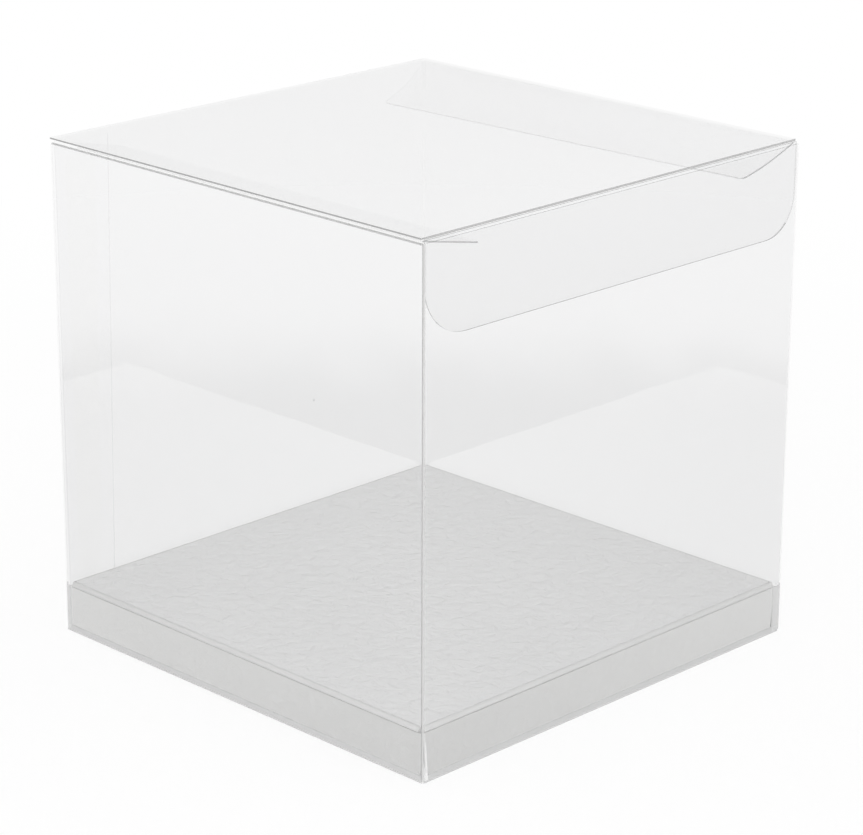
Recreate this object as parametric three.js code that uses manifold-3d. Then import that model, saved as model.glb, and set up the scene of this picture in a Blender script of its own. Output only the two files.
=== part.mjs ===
// A clear folding box for party favours, with a white card tray standing in its base.
//
// The box is one die cut sheet of clear plastic, scored, folded into a square sleeve and glued
// at the back left corner. The lid and its tuck flap fold from the back wall, a dust flap folds
// from each side wall, and four bottom panels lock into each other. The tray is one folded card:
// a deck held up by four skirts. Each panel between two folds is a mesh of its own, and so is
// each fold: a quarter bend where the sheet stays folded, and a round rib, the living hinge that
// a score leaves in a sheet, where a panel swings.
//
// Millimetres, +Z up. The origin is the middle of the base. The front, which has the tuck flap,
// faces -Y, and the fold that carries the lid runs along X at the top of the back wall.

import * as THREE from 'three';
import { mergeVertices } from 'three/addons/utils/BufferGeometryUtils.js';
import Module from 'manifold-3d';

const wasm = await Module();
wasm.setup();

// The sleeve
const width = 100; // outside, along X
const depth = 100; // outside, along Y
const height = 100; // from the base to the top of the lid
const sheet = 0.3; // thickness of the clear sheet
const bendRadius = 0.5; // outside radius of the sheet's fixed bends
const foldGap = 0.1; // from a fold to the panels beside it
const slipGap = 0.3; // between two sheets that slide past each other
const sideDrop = 0.45; // the side folds lie this far below the lid's fold
const frontDrop = 0.8; // the front wall's free edge lies this far below the lid's top

// The glued seam, where a flap of the left wall lines the left end of the back wall
const seamLapTop = 14; // from the box's left side to the glue flap's free edge, at its top
const seamLapFoot = 12.2; // the same at its foot
const seamDrop = 0.5; // the glue flap's top lies this far below the left wall's
const seamFootCut = 1.5; // the glue flap's foot slopes up by this much
const seamReveal = 0.85; // the back wall stops this much further from the corner than others
const glueFilm = 0.05; // thickness of the strip of glue
const glueGap = 0.03; // on either side of the glue
const glueMargin = 3; // from the glue to the flap's edges

// The lid and its tuck flap
const lidInset = 0.2; // the lid is this much narrower than the box on either side
const tuckDepth = 19.2; // from the tuck fold to the flap's lower edge
const tuckCorner = 9.5; // radius of the flap's lower corners
const tuckSideGap = 0.4; // from the flap's sides to the side walls
const tuckTurn = 0.125; // the flap turns in by this share of the lid's turn
const sweepGap = 0.1; // from the flap to the front wall as the lid swings

// The dust flaps under the lid
const dustLength = 15.2; // from the side fold to the free edge
const dustDroopLeft = 12; // degrees below level
const dustDroopRight = 18;
const dustDroopLimit = 50; // the lowest that either flap hangs
const dustFrontGap = 0.2; // from the flap's front edge to the tuck flap
const dustFoldGapLeft = 8.3; // from the rear end of the flap's fold to the box's back
const dustFoldGapRight = 0.4;
const dustCutLeft = 4; // the slanted cut at that end runs this far in from the fold
const dustCutRight = 6.8;
const dustRearGapLeft = 2.4; // from the end of that cut to the box's back
const dustRearGapRight = 2;
const dustRearTaper = 0.7; // from there the rear edge slants forward by this much
const dustCorner = 1.6; // radius of the free corners
const dustPivotInset = 0.1; // the side folds lie this far inside the side walls

// The locking bottom. Each panel starts level on its fold and steps up to its own layer.
const layerGap = 0.1; // between two layers of the bottom
const stepStart = 3; // level strip beside each bottom fold
const stepRun = 3; // length of the step up to the layer
const mitreGap = 0.3; // between the slanted ends of two neighbouring panels
const mitreSpare = 0.8; // the slanted ends run this far past the step
const tongueWidth = 46; // of the front panel's tongue
const tongueReach = 22; // the tongue ends this far behind the middle
const tongueCorner = 10; // radius of the tongue's corners
const shoulderSetback = 3; // the front panel's shoulders stop this far before the middle
const notchSide = 2; // from the tongue's sides to the sides of the back panel's notch
const notchBack = 8; // the notch ends this far behind the middle
const notchCorner = 4; // radius of the notch's corners
const legReach = 12; // the back panel's two legs end this far before the middle
const legCorner = 5; // radius of the legs' corners
const wingSide = 3; // from the tongue's sides to the side panels' narrow part
const wingSetback = 4; // the side panels' wide ends start this far before the middle
const wingEnd = 5; // the side panels end this far from the middle
const wingTaper = 7; // the side panels' front edge slants by this much
const wingCorner = 3; // radius of the side panels' corners

// The card tray
const card = 0.45; // thickness of the card
const trayHeight = 9.9; // from the skirts' feet to the deck's top
const trayGap = 0.2; // from the tray to the walls
const trayFootGap = 0.1; // from the skirts' feet to the bottom panels
const cardBend = 0.8; // outside radius of the card's bends
const deckCorner = 0.5; // radius of the deck's corners
const longSkirtCut = 0.5; // the left and right skirts taper by this at either foot corner
const longSkirtCutHeight = 3; // where that taper starts
const shortSkirtCut = 0.9; // the front and back skirts taper by this
const shortSkirtCutHeight = 7.6;

// Smoothness
const arcSteps = 8; // segments in a rounded corner
const curveSteps = 14; // segments down the tuck flap
const ribSides = 12; // sides of a fold's rib

// Where the folds lie
const rib = sheet / 2; // radius of a fold's rib in the clear sheet
const edge = bendRadius + foldGap; // from the outside of a corner to the edge of a panel
const ribReach = rib + foldGap; // from a fold's middle to the edge of a panel
const lidFoldHeight = height - rib;
const sideFoldHeight = lidFoldHeight - sideDrop;
const lidFoldDepth = depth / 2 - rib;
const tuckFoldDepth = depth / 2 - sheet - slipGap - rib;
const seamOffset = sheet + glueFilm + 2 * glueGap; // from the back wall's outside to the glue flap
const stepEnd = stepStart + stepRun;
const mitreEnd = stepEnd + mitreSpare;
const layerPitch = sheet + layerGap;

// The four sides, each described as if it were the front: X along the wall, -Y outwards.
const sides = {
  front: { turn: 0, reach: depth / 2, half: width / 2 },
  right: { turn: Math.PI / 2, reach: width / 2, half: depth / 2 },
  back: { turn: Math.PI, reach: depth / 2, half: width / 2 },
  left: { turn: -Math.PI / 2, reach: width / 2, half: depth / 2 },
};

// Materials
const clearSheet = () => new THREE.MeshStandardMaterial({
  color: 0xf4f7f8, roughness: 0.08, metalness: 0, transparent: true, opacity: 0.25,
});
const scoredSheet = () => new THREE.MeshStandardMaterial({
  color: 0xc9cdd0, roughness: 0.35, metalness: 0, transparent: true, opacity: 0.6,
});
const clearGlue = () => new THREE.MeshStandardMaterial({
  color: 0xeceee9, roughness: 0.5, metalness: 0, transparent: true, opacity: 0.4,
});
const whiteCard = () => new THREE.MeshStandardMaterial({ color: 0xf1f1ef, roughness: 0.8, metalness: 0 });

const box = new THREE.Group();
const sideGroups = Object.fromEntries(Object.entries(sides).map(([name, side]) => {
  const group = new THREE.Group();
  group.rotation.z = side.turn;
  box.add(group);
  return [name, group];
}));

function addMesh(parent, name, geometry, material) {
  const mesh = new THREE.Mesh(geometry, material);
  mesh.name = name;
  parent.add(mesh);
  return mesh;
}

// An outline through corners [x, y, radius], each rounded by an arc of its radius.
function roundedOutline(corners) {
  const shape = new THREE.Shape();
  const count = corners.length;
  corners.forEach(([x, y, radius = 0], index) => {
    const [px, py] = corners[(index + count - 1) % count];
    const [nx, ny] = corners[(index + 1) % count];
    const here = new THREE.Vector2(x, y);
    const before = new THREE.Vector2(px, py).sub(here).normalize();
    const after = new THREE.Vector2(nx, ny).sub(here).normalize();
    const points = [here];
    if (radius > 0) {
      const halfAngle = Math.acos(before.dot(after)) / 2;
      const inward = before.clone().add(after).normalize();
      const centre = here.clone().addScaledVector(inward, radius / Math.sin(halfAngle));
      const tangent = radius / Math.tan(halfAngle);
      const from = here.clone().addScaledVector(before, tangent).sub(centre).angle();
      let sweep = here.clone().addScaledVector(after, tangent).sub(centre).angle() - from;
      sweep -= 2 * Math.PI * Math.round(sweep / (2 * Math.PI));
      points.length = 0;
      for (let step = 0; step <= arcSteps; step += 1) {
        const angle = from + (sweep * step) / arcSteps;
        points.push(new THREE.Vector2(Math.cos(angle), Math.sin(angle)).multiplyScalar(radius).add(centre));
      }
    }
    points.forEach((point, step) => {
      if (index === 0 && step === 0) shape.moveTo(point.x, point.y);
      else shape.lineTo(point.x, point.y);
    });
  });
  shape.closePath();
  return shape;
}

// A plate lying flat: the outline in X and Y, the thickness from low to high in Z.
function flatPlate(shape, low, high) {
  const geometry = new THREE.ExtrudeGeometry(shape, { depth: high - low, bevelEnabled: false });
  geometry.translate(0, 0, low);
  return geometry;
}

// A plate standing up: the outline in X and Z, the thickness from near to far in Y.
function uprightPlate(shape, near, far) {
  const geometry = new THREE.ExtrudeGeometry(shape, { depth: far - near, bevelEnabled: false });
  geometry.rotateX(Math.PI / 2);
  geometry.translate(0, far, 0);
  return geometry;
}

// A bar of one section: the section in Y and Z, the length along X.
function barAlongX(shape, half) {
  const geometry = new THREE.ExtrudeGeometry(shape, { depth: 2 * half, bevelEnabled: false });
  const alongX = new THREE.Vector3(1, 0, 0);
  const alongY = new THREE.Vector3(0, 1, 0);
  const alongZ = new THREE.Vector3(0, 0, 1);
  geometry.applyMatrix4(new THREE.Matrix4().makeBasis(alongY, alongZ, alongX));
  geometry.translate(-half, 0, 0);
  return geometry;
}

// The rib of a fold that swings: a round rod along X with its middle at the origin.
function foldRib(radius, length) {
  const geometry = new THREE.CylinderGeometry(radius, radius, length, ribSides);
  geometry.rotateZ(Math.PI / 2);
  return geometry;
}

// The section of a sheet bent through a quarter turn, from one angle to the next right angle.
function bendSection(centreX, centreY, radius, thickness, from) {
  const to = from + Math.PI / 2;
  const shape = new THREE.Shape();
  shape.absarc(centreX, centreY, radius, from, to, false);
  shape.absarc(centreX, centreY, radius - thickness, to, from, true);
  shape.closePath();
  return shape;
}

// What two closed shapes have in common.
function common(first, second) {
  const solids = [first, second].map((geometry) => {
    const bare = geometry.clone();
    bare.deleteAttribute('normal');
    bare.deleteAttribute('uv');
    const merged = mergeVertices(bare);
    return new wasm.Manifold(new wasm.Mesh({
      numProp: 3,
      vertProperties: new Float32Array(merged.attributes.position.array),
      triVerts: new Uint32Array(merged.index.array),
    }));
  });
  const mesh = solids[0].intersect(solids[1]).getMesh();
  const geometry = new THREE.BufferGeometry();
  geometry.setAttribute('position', new THREE.BufferAttribute(mesh.vertProperties, 3));
  geometry.setIndex(new THREE.BufferAttribute(mesh.triVerts, 1));
  const faceted = geometry.toNonIndexed();
  faceted.computeVertexNormals();
  return faceted;
}

// The walls and their corner folds

const wallTop = {
  front: height - frontDrop,
  back: lidFoldHeight - ribReach,
  left: sideFoldHeight - ribReach,
  right: sideFoldHeight - ribReach,
};

// How much further than an ordinary edge a wall stops from its two corners, [at -X, at +X].
const wallSetback = {
  front: [0, 0],
  right: [0, 0],
  back: [0, seamReveal],
  left: [seamOffset, 0],
};

function addWall(name) {
  const { reach, half } = sides[name];
  const [start, end] = wallSetback[name];
  const outline = roundedOutline([
    [-half + edge + start, edge],
    [half - edge - end, edge],
    [half - edge - end, wallTop[name]],
    [-half + edge + start, wallTop[name]],
  ]);
  addMesh(sideGroups[name], `${name}_wall`, uprightPlate(outline, -reach, -reach + sheet), clearSheet());
}

// A corner fold stands at the +X end of a side, set in from that side's outside by its inset.
function addCornerFold(sideName, name, top, inset) {
  const { reach, half } = sides[sideName];
  const section = bendSection(
    half - bendRadius, -reach + inset + bendRadius, bendRadius, sheet, -Math.PI / 2,
  );
  addMesh(sideGroups[sideName], name, flatPlate(section, edge, top), scoredSheet());
}

const seamTop = wallTop.left - seamDrop;

['front', 'right', 'back', 'left'].forEach(addWall);
addCornerFold('front', 'front_right_corner_fold', wallTop.right, 0);
addCornerFold('right', 'back_right_corner_fold', wallTop.right, 0);
addCornerFold('left', 'front_left_corner_fold', wallTop.left, 0);
addCornerFold('back', 'glue_flap_fold', seamTop, seamOffset);

// The glue flap inside the back wall, and the strip of glue between them

function seamOutline(margin) {
  const { half } = sides.back;
  const start = half - edge - margin;
  const foot = edge + margin;
  return roundedOutline([
    [start, foot],
    [start, seamTop - margin],
    [half - seamLapTop + margin, seamTop - margin],
    [half - seamLapFoot + margin, foot + seamFootCut],
  ]);
}

const flapFace = -sides.back.reach + seamOffset;
addMesh(
  sideGroups.back, 'glue_flap',
  uprightPlate(seamOutline(0), flapFace, flapFace + sheet), clearSheet(),
);
addMesh(
  sideGroups.back, 'seam_glue',
  uprightPlate(seamOutline(glueMargin), flapFace - glueGap - glueFilm, flapFace - glueGap), clearGlue(),
);

// The lid, hung on the back wall's top fold. Its group turns about that fold.

const lid = new THREE.Group();
lid.position.set(0, lidFoldDepth, lidFoldHeight);
box.add(lid);

const lidHalf = width / 2 - lidInset;
const lidReach = lidFoldDepth + tuckFoldDepth; // from the lid's fold to the tuck fold

addMesh(lid, 'lid_fold', foldRib(rib, 2 * (width / 2 - edge)), scoredSheet());
addMesh(lid, 'lid_panel', flatPlate(roundedOutline([
  [-lidHalf, -lidReach + ribReach],
  [lidHalf, -lidReach + ribReach],
  [lidHalf, -ribReach],
  [-lidHalf, -ribReach],
]), -rib, rib), clearSheet());

// The tuck flap. As the lid swings up, the flap's lower part first moves outwards, the more so
// the lower it is. The flap turns in while it is drawn out, which takes up some of this, and
// curves in by the rest, less the spare gap to the front wall.

const tuck = new THREE.Group();
tuck.position.set(0, -lidReach, 0);
lid.add(tuck);

const flapReach = lidReach + rib; // from the lid's fold to the flap's outside

function tuckInset(down) {
  const swing = ((1 - tuckTurn) * down) ** 2 / (2 * flapReach);
  return Math.max(0, swing - (slipGap - sweepGap));
}

const tuckHalf = width / 2 - sheet - tuckSideGap;
const tuckStations = Array.from({ length: curveSteps + 1 }, (_, step) => (
  ribReach + ((tuckDepth - ribReach) * step) / curveSteps
));
const tuckOutside = tuckStations.map((down) => [-rib + tuckInset(down), -down]);
const tuckInside = tuckOutside.map(([y, z]) => [y + sheet, z]).reverse();
const tuckSection = roundedOutline([...tuckOutside, ...tuckInside]);
const tuckOutline = roundedOutline([
  [-tuckHalf, -tuckDepth, tuckCorner],
  [tuckHalf, -tuckDepth, tuckCorner],
  [tuckHalf, 0],
  [-tuckHalf, 0],
]);
const tuckBlank = uprightPlate(tuckOutline, -tuckDepth, tuckDepth);
addMesh(tuck, 'tuck_fold', foldRib(rib, 2 * tuckHalf), scoredSheet());
addMesh(tuck, 'tuck_flap', common(barAlongX(tuckSection, width), tuckBlank), clearSheet());

// The dust flaps. Their front edges leave room for the tuck flap at their lowest. Each has a
// slanted cut at the rear end of its fold, a longer one on the left, where it clears the seam.
// The front is at -X on the right side and at +X on the left.

const dustLimitDepth = sideDrop + dustLength * Math.sin(THREE.MathUtils.degToRad(dustDroopLimit));
const dustFront = depth / 2 - 2 * sheet - slipGap - dustFrontGap;

function addDustFlap(name, front, droop, foldRear, cutRear, cutEnd) {
  const { reach } = sides[name];
  const flap = new THREE.Group();
  flap.position.set(0, -reach + sheet + dustPivotInset, sideFoldHeight);
  flap.rotation.x = -THREE.MathUtils.degToRad(droop);
  sideGroups[name].add(flap);
  const outline = [
    [front * dustFront, ribReach],
    [front * (dustFront - tuckInset(dustLimitDepth)), dustLength, dustCorner],
    [-front * (cutRear - dustRearTaper), dustLength, dustCorner],
    [-front * cutRear, cutEnd],
    [-front * foldRear, ribReach],
  ];
  const fold = addMesh(flap, `${name}_dust_flap_fold`, foldRib(rib, dustFront + foldRear), scoredSheet());
  fold.position.x = (front * (dustFront - foldRear)) / 2;
  addMesh(flap, `${name}_dust_flap`, flatPlate(roundedOutline(outline), -rib, rib), clearSheet());
}

addDustFlap(
  'right', -1, dustDroopRight,
  depth / 2 - dustFoldGapRight, depth / 2 - dustRearGapRight, dustCutRight,
);
addDustFlap(
  'left', 1, dustDroopLeft,
  depth / 2 - dustFoldGapLeft, depth / 2 - dustRearGapLeft, dustCutLeft,
);

// The locking bottom. The front panel is the lowest layer, the side panels lie on it and the
// back panel on them, and the front panel's tongue comes up through the back panel's notch and
// lies on top. Outlines are in X along the wall and Y inwards from the wall's outside.

// A section that starts level and steps up to its layer, [distance, height] pairs.
function steppedSection(reach, steps) {
  const under = steps.map(([along, up]) => [-reach + along, up]);
  const over = under.map(([along, up]) => [along, up + sheet]).reverse();
  return roundedOutline([...under, ...over]);
}

function addBottomPanel(name, outline, steps) {
  const { reach, half } = sides[name];
  const placed = outline.map(([x, y, radius]) => [x, -reach + y, radius]);
  const prism = flatPlate(roundedOutline(placed), -height, height);
  const section = barAlongX(steppedSection(reach, steps), half);
  addMesh(sideGroups[name], `bottom_${name}_panel`, common(section, prism), clearSheet());
  const bend = bendSection(-reach + bendRadius, bendRadius, bendRadius, sheet, Math.PI);
  addMesh(sideGroups[name], `bottom_${name}_fold`, barAlongX(bend, half - edge), scoredSheet());
}

function stepUp(layer, end) {
  const up = layer * layerPitch;
  return [[edge, 0], [stepStart, 0], [stepEnd, up], [end, up]];
}

const mitreHalf = (half, along) => half - rib - mitreGap - along; // half length of a mitred end
const panelHalf = mitreHalf(width / 2, mitreEnd);
const tongueHalf = tongueWidth / 2;
const middleY = depth / 2;
const frontEnd = middleY + tongueReach;

addBottomPanel('front', [
  [-mitreHalf(width / 2, edge), edge],
  [mitreHalf(width / 2, edge), edge],
  [panelHalf, mitreEnd],
  [panelHalf, middleY - shoulderSetback, legCorner],
  [tongueHalf, middleY - shoulderSetback],
  [tongueHalf, frontEnd, tongueCorner],
  [-tongueHalf, frontEnd, tongueCorner],
  [-tongueHalf, middleY - shoulderSetback],
  [-panelHalf, middleY - shoulderSetback, legCorner],
  [-panelHalf, mitreEnd],
], [
  [edge, 0],
  [middleY - shoulderSetback, 0],
  [middleY + notchBack - notchSide, 3 * layerPitch],
  [frontEnd, 3 * layerPitch],
]);

const notchHalf = tongueHalf + notchSide;
const legEnd = middleY + legReach;
const notchEnd = middleY - notchBack;

addBottomPanel('back', [
  [-mitreHalf(width / 2, edge), edge],
  [mitreHalf(width / 2, edge), edge],
  [panelHalf, mitreEnd],
  [panelHalf, legEnd, legCorner],
  [notchHalf, legEnd, legCorner],
  [notchHalf, notchEnd, notchCorner],
  [-notchHalf, notchEnd, notchCorner],
  [-notchHalf, legEnd, legCorner],
  [-panelHalf, legEnd, legCorner],
  [-panelHalf, mitreEnd],
], stepUp(2, legEnd));

// A side panel's outline, with the box's front at -X or at +X.
function sidePanelOutline(front) {
  const middleX = width / 2;
  const wide = middleX - wingEnd;
  const narrow = middleX - tongueHalf - wingSide;
  const corners = [
    [mitreHalf(depth / 2, edge), edge],
    [mitreHalf(depth / 2, mitreEnd), mitreEnd],
    [mitreHalf(depth / 2, mitreEnd) - wingTaper, wide, wingCorner],
    [wingSetback, wide, wingCorner],
    [wingSetback, narrow, wingCorner],
    [-mitreHalf(depth / 2, narrow), narrow],
    [-mitreHalf(depth / 2, edge), edge],
  ];
  return corners.map(([x, y, radius]) => [front * x, y, radius]);
}

addBottomPanel('right', sidePanelOutline(-1), stepUp(1, width / 2));
addBottomPanel('left', sidePanelOutline(1), stepUp(1, width / 2));

// The card tray. It stands on the bottom panels and lifts straight out.

const tray = new THREE.Group();
tray.position.z = sheet + trayFootGap;
box.add(tray);

const trayHalfX = width / 2 - sheet - trayGap;
const trayHalfY = depth / 2 - seamOffset - sheet - trayGap; // clear of the glue flap
const cardEdge = cardBend + foldGap; // from the tray's outside to the edge of the deck
const deckHalfX = trayHalfX - cardEdge;
const deckHalfY = trayHalfY - cardEdge;
const skirtHalfX = trayHalfX - card - foldGap; // between the left and right skirts
const skirtTop = trayHeight - cardEdge;

addMesh(tray, 'tray_deck', flatPlate(roundedOutline([
  [-deckHalfX, -deckHalfY, deckCorner],
  [deckHalfX, -deckHalfY, deckCorner],
  [deckHalfX, deckHalfY, deckCorner],
  [-deckHalfX, deckHalfY, deckCorner],
]), trayHeight - card, trayHeight), whiteCard());

// The left and right skirts run the tray's whole length, and the other two stand between them.
const acrossX = {
  reach: trayHalfY, half: skirtHalfX, bendHalf: deckHalfX, cut: shortSkirtCut, cutHeight: shortSkirtCutHeight,
};
const alongY = {
  reach: trayHalfX, half: trayHalfY, bendHalf: deckHalfY, cut: longSkirtCut, cutHeight: longSkirtCutHeight,
};
const skirts = { front: acrossX, right: alongY, back: acrossX, left: alongY };

Object.entries(skirts).forEach(([name, { reach, half, bendHalf, cut, cutHeight }]) => {
  const group = new THREE.Group();
  group.rotation.z = sides[name].turn;
  tray.add(group);
  const outline = roundedOutline([
    [-half + cut, 0],
    [half - cut, 0],
    [half, cutHeight],
    [half, skirtTop],
    [-half, skirtTop],
    [-half, cutHeight],
  ]);
  addMesh(group, `tray_${name}_skirt`, uprightPlate(outline, -reach, -reach + card), whiteCard());
  const bend = bendSection(-reach + cardBend, trayHeight - cardBend, cardBend, card, Math.PI / 2);
  addMesh(group, `tray_${name}_fold`, barAlongX(bend, bendHalf), whiteCard());
});

export default box;
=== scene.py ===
# %% [markdown]
# A clear folding box with a white card tray
# ------------------------------------------
# The box is one sheet of clear plastic, 0.3 mm thick, scored and folded into a cube. In its base
# stands a tray of embossed white card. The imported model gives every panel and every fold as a
# node, so most of the work here is finish: a sheet that is almost invisible, folds and cut edges
# that catch the light, and card with a grain.

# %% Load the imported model
import math

import bmesh
import bpy
from mathutils import Matrix, Vector


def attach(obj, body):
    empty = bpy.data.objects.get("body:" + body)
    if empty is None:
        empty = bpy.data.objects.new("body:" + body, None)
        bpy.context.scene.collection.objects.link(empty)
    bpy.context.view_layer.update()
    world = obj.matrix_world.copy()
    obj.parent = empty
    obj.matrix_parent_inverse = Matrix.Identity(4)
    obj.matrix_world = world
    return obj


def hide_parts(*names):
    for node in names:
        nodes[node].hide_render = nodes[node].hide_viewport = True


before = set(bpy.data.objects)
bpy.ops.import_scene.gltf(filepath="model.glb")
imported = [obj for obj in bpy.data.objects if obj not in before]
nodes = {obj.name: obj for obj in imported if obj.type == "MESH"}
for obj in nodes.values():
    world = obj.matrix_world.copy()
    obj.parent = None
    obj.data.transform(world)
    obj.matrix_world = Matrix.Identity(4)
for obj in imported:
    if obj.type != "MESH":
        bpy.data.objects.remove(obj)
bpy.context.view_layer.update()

print("panels, folds and card pieces:", len(nodes))

# %% [markdown]
# The camera stands at the near left corner, a little above the lid, far enough back for the
# verticals to lean in only slightly. Its distance and lens were solved from the corners of the
# box, so that each corner falls where it should in the picture.

# %% Camera
MM = 0.001
view_azimuth = math.radians(-45.23)
view_elevation = math.radians(18.88)
view_roll = math.radians(0.22)
view_distance = 603.7 * MM
view_target = Vector((2.23, 0.0, 44.01)) * MM

towards_camera = Vector((
    math.sin(view_azimuth) * math.cos(view_elevation),
    -math.cos(view_azimuth) * math.cos(view_elevation),
    math.sin(view_elevation),
))
level_right = Vector((0, 0, 1)).cross(towards_camera).normalized()
level_up = towards_camera.cross(level_right)
camera_right = level_right * math.cos(view_roll) + level_up * math.sin(view_roll)
camera_up = level_up * math.cos(view_roll) - level_right * math.sin(view_roll)

camera_data = bpy.data.cameras.new("camera")
camera_data.sensor_fit = "HORIZONTAL"
camera_data.sensor_width = 36
camera_data.lens = 129.68
camera_data.clip_start = 0.01
camera = bpy.data.objects.new("camera", camera_data)
bpy.context.scene.collection.objects.link(camera)
turn = Matrix((camera_right, camera_up, towards_camera)).transposed().to_4x4()
camera.matrix_world = Matrix.Translation(view_target + towards_camera * view_distance) @ turn
bpy.context.scene.camera = camera
print("camera at", [round(c, 4) for c in camera.matrix_world.translation])

# %% [markdown]
# Materials are built from nodes. A few helpers keep the recipes short: one adds a node and fills
# its inputs, one does a sum on values, and one starts a material with an empty tree. Where an
# input is given another node's output, the two are linked, and otherwise the value is set on the
# socket.

# %% Helpers for materials
def add_node(tree, kind, inputs=None, **settings):
    """Adds a node, sets its properties and fills or links its inputs."""
    node = tree.nodes.new(kind)
    for name, value in settings.items():
        setattr(node, name, value)
    for name, value in (inputs or {}).items():
        if isinstance(value, bpy.types.NodeSocket):
            tree.links.new(value, node.inputs[name])
        else:
            node.inputs[name].default_value = value
    return node


def add_maths(tree, operation, *values):
    """The result of one sum. Each value is a number or another node's output."""
    node = add_node(tree, "ShaderNodeMath", dict(enumerate(values)), operation=operation)
    return node.outputs[0]


def add_product(tree, first, *others):
    """Values multiplied together."""
    for other in others:
        first = add_maths(tree, "MULTIPLY", first, other)
    return first


def start_material(name):
    """A material with nothing in its tree but the output."""
    material = bpy.data.materials.new(name)
    material.use_nodes = True
    tree = material.node_tree
    tree.nodes.clear()
    return material, tree, add_node(tree, "ShaderNodeOutputMaterial")


def grey(level):
    """An opaque neutral colour."""
    return (level, level, level, 1)


# %% [markdown]
# A clear sheet shows what is behind it and a faint reflection of what is in front. The straight
# way through is a Transparent shader, the reflection a Glossy one, and Fresnel sets the share of
# each: little when looked at squarely, much at a slant. Glass with refraction would bend nothing
# visible in 0.3 mm, and would cost noise. Rays leave the sheet unbent here, so on the way out
# Fresnel is given the inverse index, or it would find a total reflection that isn't there. A wall
# or a flap seen almost edge-on would mirror the dark part of the room like a black pane, so what
# it may reflect has a limit. The lid mirrors only the pale upper part, and needs none.

# %% How much a face of the sheet mirrors
SHEET_INDEX = 1.5
MOST_OF_WALL = 0.12
MOST_OF_FLAP = 0.2


def add_reflected_share(tree, index=SHEET_INDEX, most=1.0):
    """How much of the light a face of the sheet sends back, at most a given share."""
    behind = add_node(tree, "ShaderNodeNewGeometry").outputs["Backfacing"]
    met_index = add_maths(tree, "MULTIPLY_ADD", behind, 1 / index - index, index)
    share = add_node(tree, "ShaderNodeFresnel", {"IOR": met_index}).outputs[0]
    return add_maths(tree, "MINIMUM", share, most)


# %% [markdown]
# The cut edges are the one place where such a sheet is seen. There, light has run a long way
# inside the plastic, so they look greyer, and that is painted as a matt grey shade on the cut
# faces. Each panel names the ways in which its cut edges look, and how much of that painted shade
# each gets, because the faces beside a fold aren't cut and stay clear. So a finish has to know
# which way a face looks. The Normal of Texture Coordinate is turned round on a face seen from
# behind, and is turned back here.

# %% Which way a face looks
LEFT, RIGHT, FRONT, BACK = (-1, 0, 0), (1, 0, 0), (0, -1, 0), (0, 1, 0)
DOWN, UP = (0, 0, -1), (0, 0, 1)
SIDE_ON, FRONT_ON, LEVEL = [LEFT, RIGHT], [FRONT, BACK], [DOWN, UP]
LOOKS_THAT_WAY = 0.7


def add_outward(tree, place):
    """The way a face looks out of its piece, whichever side it is seen from."""
    behind = add_node(tree, "ShaderNodeNewGeometry").outputs["Backfacing"]
    return add_node(tree, "ShaderNodeVectorMath", {
        0: place.outputs["Normal"], "Scale": add_maths(tree, "MULTIPLY_ADD", behind, -2, 1),
    }, operation="SCALE").outputs[0]


def add_facing(tree, outward, shares):
    """The share written for the way that a face looks, and 0 where none is."""
    found = 0.0
    for way, share in shares.items():
        along = add_node(tree, "ShaderNodeVectorMath", {
            0: outward, 1: way,
        }, operation="DOT_PRODUCT").outputs["Value"]
        faces = add_maths(tree, "GREATER_THAN", along, LOOKS_THAT_WAY)
        found = add_maths(tree, "MULTIPLY_ADD", faces, share, found)
    return found


# %% [markdown]
# Marks on the sheet are matt greys laid over it. Along the foot and beside the far corner, the
# left
# and front walls are given painted light: the grey of the lit card, laid over the shade that falls
# there. That grey is only for the eye: light on its way to another surface passes it, or it would
# shade the skirts of the tray behind it. A few specks of dust lie on every panel. They come from a
# Voronoi pattern, of which only a few cells are chosen.

# %% Marks laid over a sheet
SPECK_SCALE, SPECKS_CHOSEN, SPECK_RADIUS, SPECK_SHARE = 62, 0.12, 0.014, 0.3


def lay_over(tree, share, below, level):
    """A matt grey laid over a shader by a share."""
    matt = add_node(tree, "ShaderNodeBsdfDiffuse", {"Color": grey(level)})
    return add_node(tree, "ShaderNodeMixShader", {
        0: share, 1: below.outputs[0], 2: matt.outputs[0],
    })


def add_seen(tree):
    """1 where a face is looked at, 0 for light on its way through to what stands behind."""
    path = add_node(tree, "ShaderNodeLightPath").outputs
    passing = add_maths(tree, "MAXIMUM", path["Is Shadow Ray"], path["Is Diffuse Ray"])
    return add_maths(tree, "SUBTRACT", 1, passing)


def add_specks(tree, place):
    """The share of a few scattered specks of dust."""
    cells = add_node(tree, "ShaderNodeTexVoronoi", {
        "Vector": place.outputs["Object"], "Scale": SPECK_SCALE,
    })
    chance = add_node(tree, "ShaderNodeSeparateXYZ", {0: cells.outputs["Color"]})
    chosen = add_maths(tree, "LESS_THAN", chance.outputs["X"], SPECKS_CHOSEN)
    close = add_maths(tree, "LESS_THAN", cells.outputs["Distance"], SPECK_RADIUS)
    return add_product(tree, chosen, close, SPECK_SHARE)


# %% [markdown]
# Now the recipe of a sheet. Every panel has the faint ripple, the smear and the specks. The left
# wall is also creased by its score along the top, which shows as a grey line there: the score's
# clouding, with painted shade of the bend. The front wall is given a painted highlight, a wedge of
# white beside the near corner, where the tray's skirt is cut back.

# %% Clear sheet
SHEET_TINT = (0.998, 0.998, 0.9985, 1)
SMEAR_GREY, SPECK_GREY, PAINTED_CUT_SHADE = 0.82, 0.2, 0.33
SCORE_FROM, SCORE_SHARE, SCORE_CLOUD_AND_PAINTED_SHADE = 98.8 * MM, 0.42, 0.3
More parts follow.
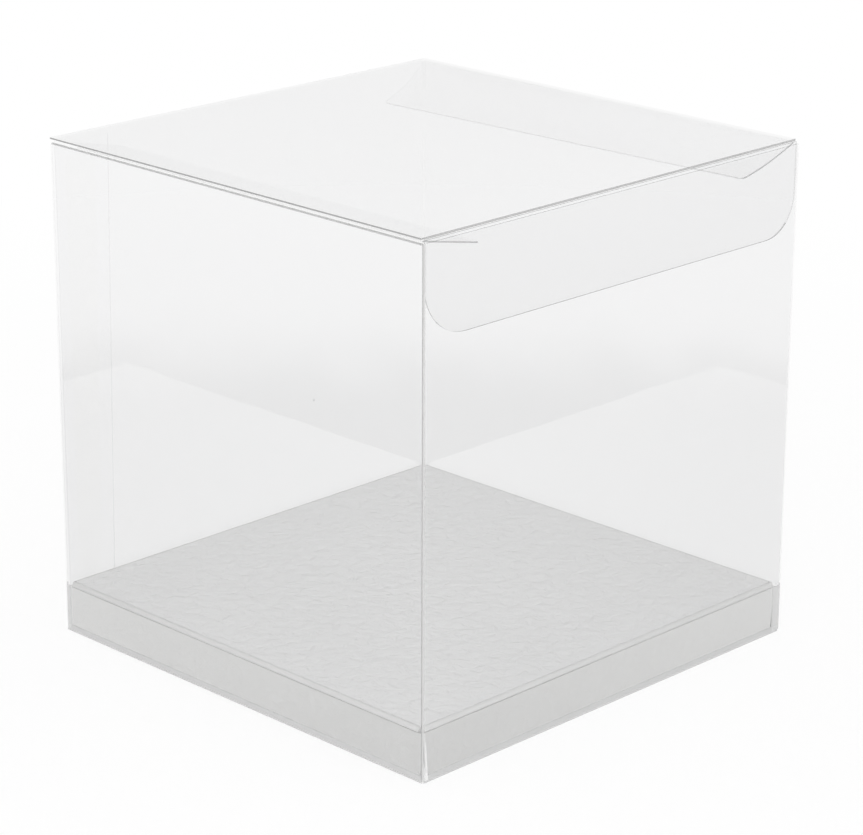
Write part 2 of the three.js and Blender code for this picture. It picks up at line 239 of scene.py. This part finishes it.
# Greys of painted light, laid over the shade at the foot and beside the far corner.
FOOT_TO, FOOT_SHARE, PAINTED_FOOT_GREY = 1.5 * MM, 0.85, 0.58
CARD_TO, CARD_SHARE, PAINTED_CARD_GREY = 9.9 * MM, 0.8, 0.62
GLINT_LEAN, GLINT_EDGE, PAINTED_GLINT_SHARE = 0.085, -48.59 * MM, 0.45


def clear_sheet(
    name, broad_ways, cut_shade_shares, index=SHEET_INDEX, most=MOST_OF_WALL, scored=False, foot=False,
    painted_card_beside=None, painted_glint=False,
):
    """Broad ways are those that the two broad faces look. Cut shade shares say how much painted
    shade each cut is given.
    """
    material, tree, output = start_material(name)
    place = add_node(tree, "ShaderNodeTexCoord")
    ripple = add_node(tree, "ShaderNodeTexNoise", {
        "Vector": place.outputs["Object"], "Scale": 38, "Detail": 1,
    })
    rippled = add_node(tree, "ShaderNodeBump", {
        "Height": ripple.outputs[0], "Strength": 0.35, "Distance": 0.00025,
    })
    through = add_node(tree, "ShaderNodeBsdfTransparent", {"Color": SHEET_TINT})
    mirrored = add_node(tree, "ShaderNodeBsdfGlossy", {
        "Color": SHEET_TINT, "Roughness": 0.03, "Normal": rippled.outputs[0],
    })
    sheet = add_node(tree, "ShaderNodeMixShader", {
        0: add_reflected_share(tree, index, most), 1: through.outputs[0], 2: mirrored.outputs[0],
    })
    smear = add_node(tree, "ShaderNodeTexNoise", {
        "Vector": place.outputs["Object"], "Scale": 55, "Detail": 4, "Roughness": 0.65,
    })
    smear_share = add_node(tree, "ShaderNodeMapRange", {
        "Value": smear.outputs[0], "From Min": 0.5, "From Max": 0.85, "To Min": 0, "To Max": 0.008,
    })
    shown = lay_over(tree, smear_share.outputs[0], sheet, SMEAR_GREY)
    shown = lay_over(tree, add_specks(tree, place), shown, SPECK_GREY)
    where = add_node(tree, "ShaderNodeSeparateXYZ", {0: place.outputs["Object"]}).outputs
    # The grey line along the top of the wall: the score's clouding, with painted shade of the
    # bend.
    if scored:
        at_score = add_maths(tree, "GREATER_THAN", where["Z"], SCORE_FROM)
        shown = lay_over(tree, add_product(tree, at_score, SCORE_SHARE), shown, SCORE_CLOUD_AND_PAINTED_SHADE)
    # Painted light: the lit card's grey laid over the shade along the foot.
    if foot:
        at_foot = add_maths(tree, "LESS_THAN", where["Z"], FOOT_TO)
        share = add_product(tree, at_foot, FOOT_SHARE, add_seen(tree))
        shown = lay_over(tree, share, shown, PAINTED_FOOT_GREY)
    # Painted light: the lit card's grey laid over the shade in the gap beside the far corner.
    if painted_card_beside:
        axis, start = painted_card_beside
        beside = add_maths(tree, "GREATER_THAN", where[axis], start * MM)
        low = add_maths(tree, "LESS_THAN", where["Z"], CARD_TO)
        share = add_product(tree, beside, low, CARD_SHARE, add_seen(tree))
        shown = lay_over(tree, share, shown, PAINTED_CARD_GREY)
    # Painted highlight: a wedge of white laid over the wall beside the near corner.
    if painted_glint:
        leaning = add_maths(tree, "MULTIPLY_ADD", where["Z"], GLINT_LEAN, where["X"])
        wedge = add_maths(tree, "LESS_THAN", leaning, GLINT_EDGE)
        shown = lay_over(tree, add_product(tree, wedge, PAINTED_GLINT_SHARE), shown, 1.0)
    outward = add_outward(tree, place)
    # Painted shade on the cut faces, for light that runs inside the plastic.
    clear_rim = add_node(tree, "ShaderNodeBsdfTransparent", {"Color": grey(0.99)})
    rim = lay_over(tree, add_facing(tree, outward, cut_shade_shares), clear_rim, PAINTED_CUT_SHADE)
    shown = add_node(tree, "ShaderNodeMixShader", {
        0: add_facing(tree, outward, dict.fromkeys(broad_ways, 1)), 1: rim.outputs[0],
        2: shown.outputs[0],
    })
    tree.links.new(shown.outputs[0], output.inputs["Surface"])
    return material


# %% [markdown]
# Each panel gets a finish of its own. The glue flap lies wet against the back wall, and two faces
# in contact reflect little, so its index is lower. The left dust flap is seen at so flat a slant
# that it would mirror the room strongly, and on the real box it hardly shows, so its index is
# lowest. The tuck flap is a little greyer than the panes beside it, so its index is a little
# higher than the sheet's own.

# %% A finish for each panel
GLUED_INDEX, SUNK_INDEX, DROOPING_INDEX, TUCKED_INDEX = 1.03, 1.02, 1.4, 1.6
left_sheet = clear_sheet(
    "clear_sheet_left_wall", SIDE_ON, {}, scored=True, foot=True, painted_card_beside=("Y", 48.3),
)
right_sheet = clear_sheet("clear_sheet_right_wall", SIDE_ON, {})
front_sheet = clear_sheet(
    "clear_sheet_front_wall", FRONT_ON, {UP: 0.45}, foot=True, painted_card_beside=("X", 47.6), painted_glint=True,
)
back_sheet = clear_sheet("clear_sheet_back_wall", FRONT_ON, {LEFT: 0.05})
glued_sheet = clear_sheet("clear_sheet_glue_flap", FRONT_ON, {RIGHT: 0.08}, GLUED_INDEX)
lid_sheet = clear_sheet("clear_sheet_lid", LEVEL, {LEFT: 0.9, FRONT: 0.7}, most=1.0)
tucked_sheet = clear_sheet(
    "clear_sheet_tuck_flap", FRONT_ON, {LEFT: 0.4, RIGHT: 0.22, DOWN: 0.7, UP: 0.6}, TUCKED_INDEX,
)
left_flap_sheet = clear_sheet(
    "clear_sheet_left_flap", LEVEL, {FRONT: 0.6, BACK: 0.03}, SUNK_INDEX, MOST_OF_FLAP,
)
right_flap_sheet = clear_sheet(
    "clear_sheet_right_flap", LEVEL, {FRONT: 0.7, LEFT: 0.3, BACK: 0.04}, DROOPING_INDEX,
    MOST_OF_FLAP,
)
bottom_sheets = {
    side: clear_sheet("clear_sheet_bottom_" + side, LEVEL, {inward: 0.1})
    for side, inward in {"front": BACK, "back": FRONT, "left": RIGHT, "right": LEFT}.items()
}
print("clear sheet finishes:", 9 + len(bottom_sheets))

# %% [markdown]
# A score is pressed into the sheet with a blunt rule before it is folded. It clouds the plastic,
# and the bend gathers the dark and light of the whole room into a narrow line. Here both are a
# matt grey: the score's clouding, with painted reflection and shade of the bend on top. So how
# much grey a fold gets is given by where it lies: those on the near side are painted as grey
# lines, and the far ones get hardly any. The cloudiness comes and goes a little along the fold.
# As with the grey on the walls, light on its way to another surface passes it. The two bends at
# the sides are also given painted light, the grey of the lit card, beside the tray.

# %% Scored fold
FOLD_INDEX, FAINT_INDEX = 1.12, 1.03
BEND_CARD_TO = 10.2 * MM


def finish_fold(tree, output, share, tone, index=FOLD_INDEX):
    """A clear bend with the given share of a grey over it: the score's clouding and painted shade.
    """
    through = add_node(tree, "ShaderNodeBsdfTransparent", {"Color": grey(0.992)})
    clouded_and_painted_shade = add_node(tree, "ShaderNodeBsdfDiffuse", {"Color": tone})
    mirrored = add_node(tree, "ShaderNodeBsdfGlossy", {"Color": grey(0.95), "Roughness": 0.25})
    body = add_node(tree, "ShaderNodeMixShader", {
        0: add_product(tree, share, add_seen(tree)), 1: through.outputs[0], 2: clouded_and_painted_shade.outputs[0],
    })
    shown = add_node(tree, "ShaderNodeMixShader", {
        0: add_reflected_share(tree, index), 1: body.outputs[0], 2: mirrored.outputs[0],
    })
    tree.links.new(shown.outputs[0], output.inputs["Surface"])


def add_stretches(tree, place, least, most):
    """A value that wanders between two limits along the fold."""
    stretch = add_node(tree, "ShaderNodeTexNoise", {
        "Vector": place.outputs["Object"], "Scale": 90, "Detail": 2, "Roughness": 0.5,
    })
    return add_node(tree, "ShaderNodeMapRange", {
        "Value": stretch.outputs[0], "From Min": 0.35, "From Max": 0.65,
        "To Min": least, "To Max": most,
    }).outputs[0]


def scored_fold(name, least, most, tone, index=FOLD_INDEX, painted_card_share=0):
    """Painted card share is how much painted light, the grey of the lit card, the bend is given
    beside the tray.
    """
    material, tree, output = start_material(name)
    place = add_node(tree, "ShaderNodeTexCoord")
    share = add_stretches(tree, place, least, most)
    # Painted light: the lit card's grey on the bend beside the tray.
    if painted_card_share:
        where = add_node(tree, "ShaderNodeSeparateXYZ", {0: place.outputs["Object"]}).outputs
        beside = add_maths(tree, "LESS_THAN", where["Z"], BEND_CARD_TO)
        share = add_maths(tree, "MULTIPLY_ADD", beside, painted_card_share, share)
    finish_fold(tree, output, share, grey(tone), index)
    return material


# %% [markdown]
# The near corner is the plainest line of all. Across its width it goes from a thin painted dark
# stripe on the left, through the pressed grey band of clouding and painted shade, to clear plastic
# on the right. A ramp gives the grey its profile, and the distance across the fold, which lies at
# 45 degrees to X and Y, says where on the ramp a point is.

# %% Near corner
PER_MM = 1000 * math.sqrt(0.5)
HALF_WIDTH = 0.36
CLOUD_AND_PAINTED_SHADE = ((0.25, 1.0), (0.35, 0.8), (0.65, 0.7), (0.78, 0.1), (1.0, 0.0))


def scored_corner(name, least, most):
    """The share of clouding and painted shade follows a ramp across the fold's width, measured in
    mm.
    """
    material, tree, output = start_material(name)
    place = add_node(tree, "ShaderNodeTexCoord")
    across = add_node(tree, "ShaderNodeVectorMath", {
        0: place.outputs["Object"], 1: (PER_MM, -PER_MM, 0),
    }, operation="DOT_PRODUCT")
    along_width = add_node(tree, "ShaderNodeMapRange", {
        "Value": across.outputs["Value"], "From Min": -HALF_WIDTH, "From Max": HALF_WIDTH,
    })
    profile = add_node(tree, "ShaderNodeValToRGB", {0: along_width.outputs[0]})
    while len(profile.color_ramp.elements) > 1:
        profile.color_ramp.elements.remove(profile.color_ramp.elements[0])
    profile.color_ramp.elements[0].position = 0
    profile.color_ramp.elements[0].color = grey(0.5)
    for position, level in CLOUD_AND_PAINTED_SHADE:
        profile.color_ramp.elements.new(position).color = grey(level)
    share = add_product(tree, profile.outputs[0], add_stretches(tree, place, least, most))
    # Painted dark stripe along the left side of the near corner.
    painted_dark_stripe = add_node(tree, "ShaderNodeMapRange", {
        "Value": along_width.outputs[0], "From Min": 0.15, "From Max": 0.35,
        "To Min": 0.4, "To Max": 0.56,
    })
    tone = add_node(tree, "ShaderNodeCombineColor", {
        0: painted_dark_stripe.outputs[0], 1: painted_dark_stripe.outputs[0], 2: painted_dark_stripe.outputs[0],
    })
    finish_fold(tree, output, share, tone.outputs[0])
    return material


# %% A finish for each fold
# Near folds are given much grey and far ones little: painted reflection and shade. The foot bends
# take the lit card's grey, painted light.
corner_finish = scored_corner("scored_corner_near", 0.76, 0.95)
tuck_fold_finish = scored_fold("scored_hinge_of_tuck_flap", 0.75, 0.95, 0.5)
left_rib_finish = scored_fold("scored_hinge_left", 0.02, 0.1, 0.7, 1.04)
foot_finish = scored_fold("scored_bend_near_foot", 0.88, 0.92, 0.66)
side_bend_finish = scored_fold("scored_bend_side", 0.0, 0.04, 0.72, FAINT_INDEX, painted_card_share=0.55)
faint_finish = scored_fold("scored_fold_far", 0.0, 0.04, 0.7, FAINT_INDEX)
print("fold finishes:", 6)

# %% [markdown]
# The glue in the seam is a clear film with bubbles and thin places. It lies between two sheets,
# so it shows only as a slight unevenness.

# %% Glue
def dried_glue(name):
    """A clear film with faint patches."""
    material, tree, output = start_material(name)
    place = add_node(tree, "ShaderNodeTexCoord")
    patches = add_node(tree, "ShaderNodeTexNoise", {
        "Vector": place.outputs["Object"], "Scale": 260, "Detail": 5, "Roughness": 0.6,
    })
    share = add_node(tree, "ShaderNodeMapRange", {
        "Value": patches.outputs[0], "From Min": 0.4, "From Max": 0.75,
        "To Min": 0, "To Max": 0.01,
    })
    through = add_node(tree, "ShaderNodeBsdfTransparent", {"Color": (0.999, 0.999, 0.997, 1)})
    film = add_node(tree, "ShaderNodeBsdfDiffuse", {"Color": grey(0.8)})
    shown = add_node(tree, "ShaderNodeMixShader", {
        0: share.outputs[0], 1: through.outputs[0], 2: film.outputs[0],
    })
    tree.links.new(shown.outputs[0], output.inputs["Surface"])
    return material


glue_finish = dried_glue("dried_glue")

# %% [markdown]
# The card has a soft pebbled emboss, about 2 mm from one pebble to the next, and very shallow.
# Two noises make it: a coarse one for the pebbles, and a fine one for the fibres of the card. It
# is a bump and not real relief, because it is far thinner than the card.
# The skirts are given painted shade and light: a little greyer towards the near corner, and a
# little paler away from it.

# %% White card
DARKEST, PALEST = 0.975, 1.02
NEAR_CORNER, PAINTED_SHADE_NEAR, PAINTED_LIGHT_FAR = -98 * MM, 0.925, 1.035


def white_card(name, colour, pebble, corner_shaded=False):
    """Pebble is the strength of the emboss. With corner_shaded, painted shade makes the card
    greyer towards the near corner.
    """
    material, tree, output = start_material(name)
    place = add_node(tree, "ShaderNodeTexCoord")
    pebbles = add_node(tree, "ShaderNodeTexNoise", {
        "Vector": place.outputs["Object"], "Scale": 420, "Detail": 2, "Roughness": 0.5,
        "Distortion": 0.6,
    })
    fibres = add_node(tree, "ShaderNodeTexNoise", {
        "Vector": place.outputs["Object"], "Scale": 2600, "Detail": 3,
    })
    pebbled = add_node(tree, "ShaderNodeBump", {
        "Height": pebbles.outputs[0], "Strength": pebble, "Distance": 0.0006,
    })
    fibred = add_node(tree, "ShaderNodeBump", {
        "Height": fibres.outputs[0], "Strength": 0.25, "Distance": 0.00003,
        "Normal": pebbled.outputs[0],
    })
    shade = add_node(tree, "ShaderNodeTexNoise", {
        "Vector": place.outputs["Object"], "Scale": 45, "Detail": 4, "Roughness": 0.6,
    })
    tone = add_node(tree, "ShaderNodeMix", {
        0: shade.outputs[0],
        6: tuple(c * DARKEST for c in colour) + (1,),
        7: tuple(min(1, c * PALEST) for c in colour) + (1,),
    }, data_type="RGBA")
    shown = tone.outputs[2]
    # Painted shade: greyer towards the near corner, paler away from it.
    if corner_shaded:
        from_corner = add_node(tree, "ShaderNodeVectorMath", {
            0: place.outputs["Object"], 1: (1, 1, 0),
        }, operation="DOT_PRODUCT")
        painted_corner_shade = add_node(tree, "ShaderNodeMapRange", {
            "Value": from_corner.outputs["Value"], "From Min": NEAR_CORNER, "From Max": 0,
            "To Min": PAINTED_SHADE_NEAR, "To Max": PAINTED_LIGHT_FAR,
        })
        shown = add_node(tree, "ShaderNodeVectorMath", {
            0: shown, "Scale": painted_corner_shade.outputs[0],
        }, operation="SCALE").outputs[0]
    card = add_node(tree, "ShaderNodeBsdfPrincipled", {
        "Base Color": shown, "Roughness": 0.62, "Specular IOR Level": 0.35,
        "Normal": fibred.outputs[0],
    })
    tree.links.new(card.outputs[0], output.inputs["Surface"])
    return material


# The skirts and creases are the same card as the deck, given darker colours: painted shade on the
# upright faces and in the folds.
deck_finish = white_card("white_card_deck", (0.798, 0.798, 0.796), 0.9)
shaded_skirt_finish = white_card("white_card_skirts", (0.745, 0.745, 0.738), 0.35, corner_shaded=True)
shaded_crease_finish = white_card("white_card_creases", (0.71, 0.71, 0.705), 0.2)
print("card finishes:", 3)

# %% [markdown]
# Now each node gets the finish of what it is. Only the material in its slot changes: the meshes
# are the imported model's own.

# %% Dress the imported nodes
def dress(finish, *names):
    """Puts one finish in every material slot of the named nodes."""
    for name in names:
        node = nodes[name]
        if not node.material_slots:
            node.data.materials.append(finish)
        for slot in node.material_slots:
            slot.material = finish


dress(left_sheet, "left_wall")
dress(right_sheet, "right_wall")
dress(front_sheet, "front_wall")
dress(back_sheet, "back_wall")
dress(glued_sheet, "glue_flap")
dress(lid_sheet, "lid_panel")
dress(tucked_sheet, "tuck_flap")
dress(left_flap_sheet, "left_dust_flap")
dress(right_flap_sheet, "right_dust_flap")
for side, finish in bottom_sheets.items():
    dress(finish, "bottom_" + side + "_panel")
dress(corner_finish, "front_left_corner_fold")
dress(tuck_fold_finish, "tuck_fold")
dress(left_rib_finish, "left_dust_flap_fold")
dress(foot_finish, "bottom_front_fold", "bottom_left_fold")
dress(side_bend_finish, "front_right_corner_fold", "glue_flap_fold")
dress(
    faint_finish, "back_right_corner_fold", "lid_fold", "right_dust_flap_fold",
    "bottom_back_fold", "bottom_right_fold",
)
dress(glue_finish, "seam_glue")
dress(deck_finish, "tray_deck")
dress(shaded_skirt_finish, "tray_front_skirt", "tray_back_skirt", "tray_left_skirt", "tray_right_skirt")
dress(shaded_crease_finish, "tray_front_fold", "tray_back_fold", "tray_left_fold", "tray_right_fold")
print("nodes dressed:", len(nodes))

# %% [markdown]
# Two flaps aren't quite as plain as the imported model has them. The tuck flap of the real box
# springs flat against the front wall and fills it from corner to corner, and the right dust flap
# has taken a twist, so that it hangs lower at the back. Each is made afresh here: a grid is
# laid out, its rows run from the fold to the free edge, and each row is placed along the flap's
# outline. Then the grid is given the sheet's thickness, half to each side. A grid is used because
# a twisted flap needs points inside its outline to twist on.

# %% A flap from a grid
SHEET = 0.3 * MM
SHARP = 0.5


def set_back(reach, corner, length):
    """How far a rounded corner has drawn an edge in, at a distance from the fold."""
    past = max(0.0, reach - (length - corner))
    return corner - math.sqrt(max(0.0, corner * corner - past * past))


def make_flap(name, columns, rows, place):
    """A sheet laid over a grid. Place gives a point for the shares along and down the flap."""
    shape = bmesh.new()
    bmesh.ops.create_grid(shape, x_segments=columns, y_segments=rows, size=0.5)
    for vert in shape.verts:
        vert.co = place(vert.co.x + 0.5, math.sin((vert.co.y + 0.5) * math.pi / 2))
    shape.normal_update()
    for vert in shape.verts:
        vert.co += vert.normal * SHEET / 2
    bmesh.ops.solidify(shape, geom=shape.faces[:], thickness=SHEET)
    bmesh.ops.recalc_face_normals(shape, faces=shape.faces[:])
    for face in shape.faces:
        face.smooth = True
    for edge in shape.edges:
        edge.smooth = edge.calc_face_angle(0) < SHARP
    mesh = bpy.data.meshes.new(name)
    shape.to_mesh(mesh)
    shape.free()
    piece = bpy.data.objects.new(name, mesh)
    bpy.context.scene.collection.objects.link(piece)
    return piece


# %% Outline of the tuck flap
TUCK_HALF, TUCK_MIDDLE, TUCK_TOP, TUCK_LENGTH = 49.5, -49.45, 99.6, 17.8
LEFT_CORNER, RIGHT_CORNER = 10.0, 8.0


def place_tuck(along, down):
    """A point of the flat tuck flap, whose two lower corners are rounded."""
    reach = down * TUCK_LENGTH
    left = -TUCK_HALF + set_back(reach, LEFT_CORNER, TUCK_LENGTH)
    right = TUCK_HALF - set_back(reach, RIGHT_CORNER, TUCK_LENGTH)
    return Vector((left + along * (right - left), TUCK_MIDDLE, TUCK_TOP - reach)) * MM


# %% Outline of the right dust flap
DUST_FOLD, DUST_START, DUST_LENGTH, DUST_CORNER = Vector((49.6, 0.0, 99.4)), 0.25, 15.2, 0.9
FRONT_DROOP, REAR_DROOP, DUST_BOW = math.radians(18), math.radians(24.5), 0.45
DUST_FRONT, DUST_FRONT_TAPER, DUST_REAR = -48.9, 0.4, 48.0
REAR_CUT, REAR_CUT_RISE, REAR_TAPER = 6.8, 1.6, 0.7


def place_right_dust(along, down):
    """A point of the right dust flap, which hangs lower at the rear and bows a little."""
    reach = DUST_START + down * (DUST_LENGTH - DUST_START)
    rounded = set_back(reach, DUST_CORNER, DUST_LENGTH)
    front = DUST_FRONT + DUST_FRONT_TAPER * down + rounded
    if reach < REAR_CUT:
        rear = DUST_REAR + REAR_CUT_RISE * (1 - reach / REAR_CUT)
    else:
        rear = DUST_REAR - REAR_TAPER * (reach - REAR_CUT) / (DUST_LENGTH - REAR_CUT)
    y = front + along * (rear - rounded - front)
    droop = FRONT_DROOP + (REAR_DROOP - FRONT_DROOP) * (y - DUST_FRONT) / (-2 * DUST_FRONT)
    hanging = Vector((-math.cos(droop), 0, -math.sin(droop))) * reach
    bow = Vector((0, y, -DUST_BOW * math.sin(down * math.pi)))
    return (DUST_FOLD + bow + hanging) * MM


# %% Tuck flap and right dust flap
tuck = make_flap("tuck_flap_sprung_flat", 2, 28, place_tuck)
tuck.data.materials.append(tucked_sheet)
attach(tuck, "tuck")
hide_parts("tuck_flap")

dust = make_flap("right_dust_flap_twisted", 24, 18, place_right_dust)
dust.data.materials.append(right_flap_sheet)
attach(dust, "right_dust")
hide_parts("right_dust_flap")
for piece in (tuck, dust):
    corners = [piece.matrix_world @ Vector(c) for c in piece.bound_box]
    for end, pick in (("from", min), ("to", max)):
        corner = [round(pick(c[axis] for c in corners) / MM, 2) for axis in range(3)]
        print(piece.name, end, corner)

# %% [markdown]
# The room is a white one. The world is plain white for whatever looks at it, and lights the box
# softly from all round. Near the box the floor is partly a lit surface, which takes the soft
# shadow beside the tray, and further off it is all white, so that it runs into the background
# without an edge.
# A clear wall would vanish in a room that is white all round. In a real studio the light falls
# off below the table, and that darker part, mirrored in the lower half of each wall, is what
# draws the box. So the room's mirror image falls off below the horizon.

# %% White room
SOFT_LIGHT = 0.88
ROOM_LEVELS = ((-0.316, 0.05), (-0.294, 0.55), (-0.2, 0.67), (0.2, 0.84))


def add_looked_at(tree):
    """1 for a ray that looks at the background, straight, in a reflection or through glass."""
    path = add_node(tree, "ShaderNodeLightPath").outputs
    seen = add_maths(tree, "MAXIMUM", path["Is Camera Ray"], path["Is Glossy Ray"])
    return add_maths(tree, "MAXIMUM", seen, path["Is Transmission Ray"])


world = bpy.data.worlds.new("white_room")
bpy.context.scene.world = world
world.use_nodes = True
world_tree = world.node_tree
world_tree.nodes.clear()
strength = add_node(world_tree, "ShaderNodeMapRange", {
    "Value": add_looked_at(world_tree), "To Min": SOFT_LIGHT, "To Max": 1.0,
})
room = add_node(world_tree, "ShaderNodeTexCoord")
height = add_node(world_tree, "ShaderNodeSeparateXYZ", {0: room.outputs["Generated"]})
height_share = add_node(world_tree, "ShaderNodeMapRange", {
    "Value": height.outputs["Z"], "From Min": -1, "From Max": 1,
})
fall_off = add_node(world_tree, "ShaderNodeValToRGB", {0: height_share.outputs[0]})
for sine, level in ROOM_LEVELS:
    stop = fall_off.color_ramp.elements.new((sine + 1) / 2)
    stop.color = grey(level)
fall_off.color_ramp.elements.remove(fall_off.color_ramp.elements[0])
fall_off.color_ramp.elements.remove(fall_off.color_ramp.elements[-1])
mirrored = add_node(world_tree, "ShaderNodeLightPath").outputs["Is Glossy Ray"]
colour = add_node(world_tree, "ShaderNodeMix", {
    0: mirrored, 6: grey(1), 7: fall_off.outputs[0],
}, data_type="RGBA")
background = add_node(world_tree, "ShaderNodeBackground", {
    "Color": colour.outputs[2], "Strength": strength.outputs[0],
})
world_output = add_node(world_tree, "ShaderNodeOutputWorld")
world_tree.links.new(background.outputs[0], world_output.inputs["Surface"])
print("levels of the mirrored room:", ROOM_LEVELS)

# %% White floor
FLOOR_RADIUS, FLOOR_DROP = 4.0, 0.05 * MM
SHADED_TO, WHITE_FROM, LEAST_WHITE = 0.08, 0.35, 0.84


def white_floor(name):
    """Lit near the box and white further off, as far as it is looked at."""
    material, tree, output = start_material(name)
    lit = add_node(tree, "ShaderNodeBsdfDiffuse", {"Color": grey(0.9)})
    white = add_node(tree, "ShaderNodeEmission", {"Color": grey(1), "Strength": 1.0})
    place = add_node(tree, "ShaderNodeTexCoord")
    away = add_node(tree, "ShaderNodeVectorMath", {0: place.outputs["Object"]}, operation="LENGTH")
    white_share = add_node(tree, "ShaderNodeMapRange", {
        "Value": away.outputs["Value"], "From Min": SHADED_TO, "From Max": WHITE_FROM,
        "To Min": LEAST_WHITE, "To Max": 1.0,
    })
    seen_white = add_product(tree, add_looked_at(tree), white_share.outputs[0])
    shown = add_node(tree, "ShaderNodeMixShader", {
        0: seen_white, 1: lit.outputs[0], 2: white.outputs[0],
    })
    tree.links.new(shown.outputs[0], output.inputs["Surface"])
    return material


floor_mesh = bpy.data.meshes.new("floor")
sheet_of_floor = bmesh.new()
bmesh.ops.create_circle(sheet_of_floor, cap_ends=True, segments=64, radius=FLOOR_RADIUS)
bmesh.ops.translate(sheet_of_floor, verts=sheet_of_floor.verts, vec=(0, 0, -FLOOR_DROP))
sheet_of_floor.to_mesh(floor_mesh)
sheet_of_floor.free()
floor_mesh.materials.append(white_floor("white_floor"))
floor = bpy.data.objects.new("floor", floor_mesh)
bpy.context.scene.collection.objects.link(floor)
floor.visible_glossy = False
print("floor radius, m:", FLOOR_RADIUS)

# %% [markdown]
# A line of sight through the seam, or along the top of a wall, meets many faces of clear sheet
# one behind another. The usual limit of 8 would end it there in black, so it is raised.

# %% Layers seen through
bpy.context.scene.cycles.transparent_max_bounces = 40
print("layers seen through, at most:", bpy.context.scene.cycles.transparent_max_bounces)

# %% [markdown]
# Two large soft lamps add a little direction: a main one in front and to the left, and a weaker
# one to the right. They stand low, because the skirts of the tray are nearly as bright as its
# deck, and they keep the level plain, so a colour renders about as it is written.

# %% Lamps
LAMP_SIZE = 0.8


def add_soft_lamp(name, place, power):
    """A round area lamp that looks at the box."""
    data = bpy.data.lights.new(name, "AREA")
    data.shape = "DISK"
    data.size = LAMP_SIZE
    data.energy = power
    lamp = bpy.data.objects.new(name, data)
    bpy.context.scene.collection.objects.link(lamp)
    lamp.location = place
    lamp.rotation_euler = (-Vector(place)).to_track_quat("-Z", "Y").to_euler()
    lamp.visible_glossy = False
    print(name, "at", place, "power, W:", power)


add_soft_lamp("lamp_front_left", (-0.8, -0.6, 0.55), 4.0)
add_soft_lamp("lamp_front_right", (0.35, -1.0, 0.6), 0.95)
bpy.context.scene.view_settings.view_transform = "Standard"
